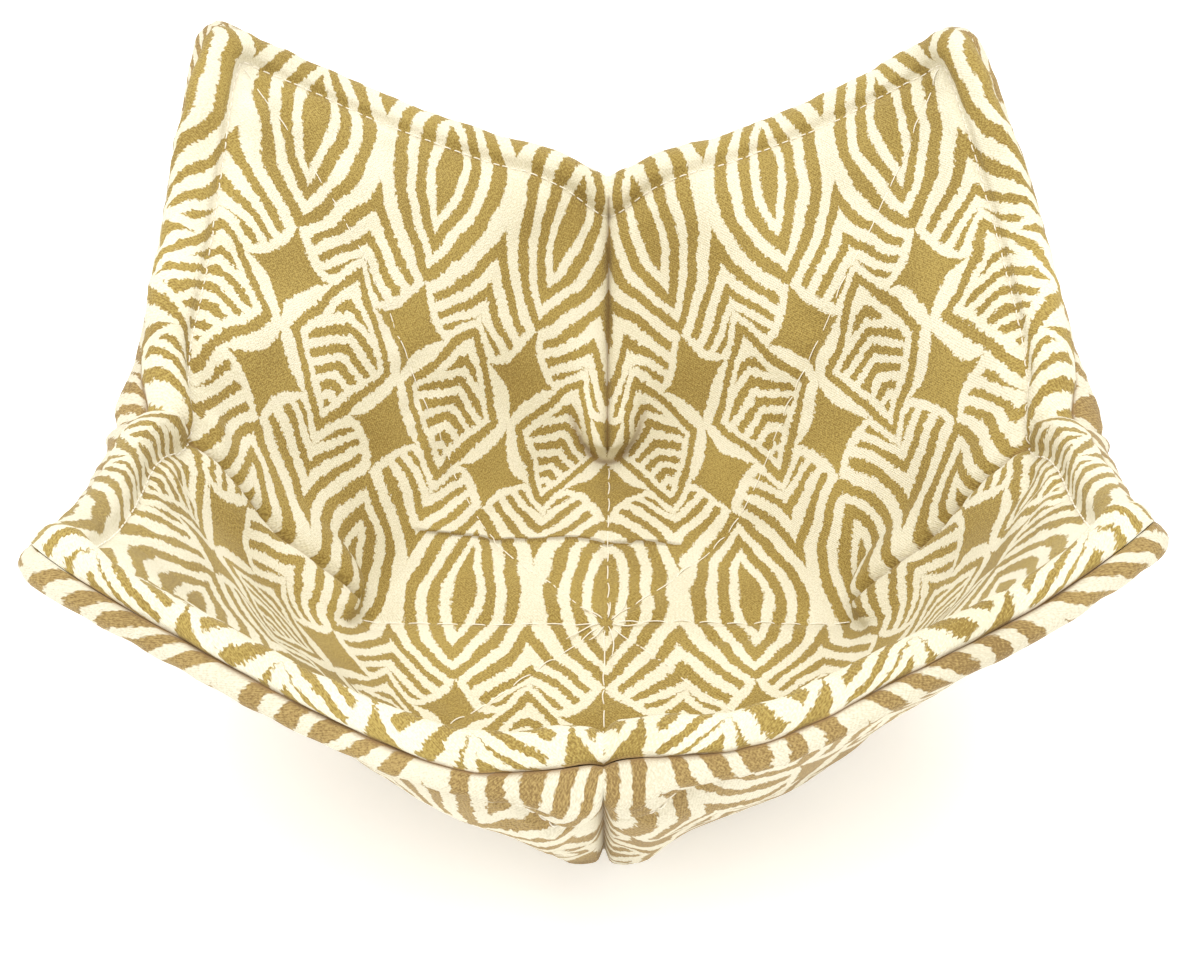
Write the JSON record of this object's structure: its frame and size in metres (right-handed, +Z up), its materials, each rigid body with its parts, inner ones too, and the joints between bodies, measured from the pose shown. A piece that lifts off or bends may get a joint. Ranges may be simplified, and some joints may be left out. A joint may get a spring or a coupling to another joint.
{
  "type": "quilted microwave bowl cozy",
  "caption": "Quilted cotton bowl cozy: a darted square with upturned ears that cradles a hot bowl.",
  "frame": {"origin": "middle of the underside, under the place where the quilting lines cross", "axes": "+Z up out of the bowl; -Y towards the front dart, +X towards the right dart"},
  "size_m": [0.2026, 0.2045, 0.1158],
  "materials": {
    "lining_cotton": "cream cotton canvas with a khaki-gold print",
    "outer_cotton": "cream cotton canvas with a khaki-gold print",
    "batting": "unbleached needled cotton batting",
    "thread": "cream cotton sewing thread"
  },
  "bodies": {
    "root": {"lining_panel": "lining_cotton", "lining_batting": "batting", "outer_batting": "batting", "outer_panel": "outer_cotton"}
  },
  "joints": []
}
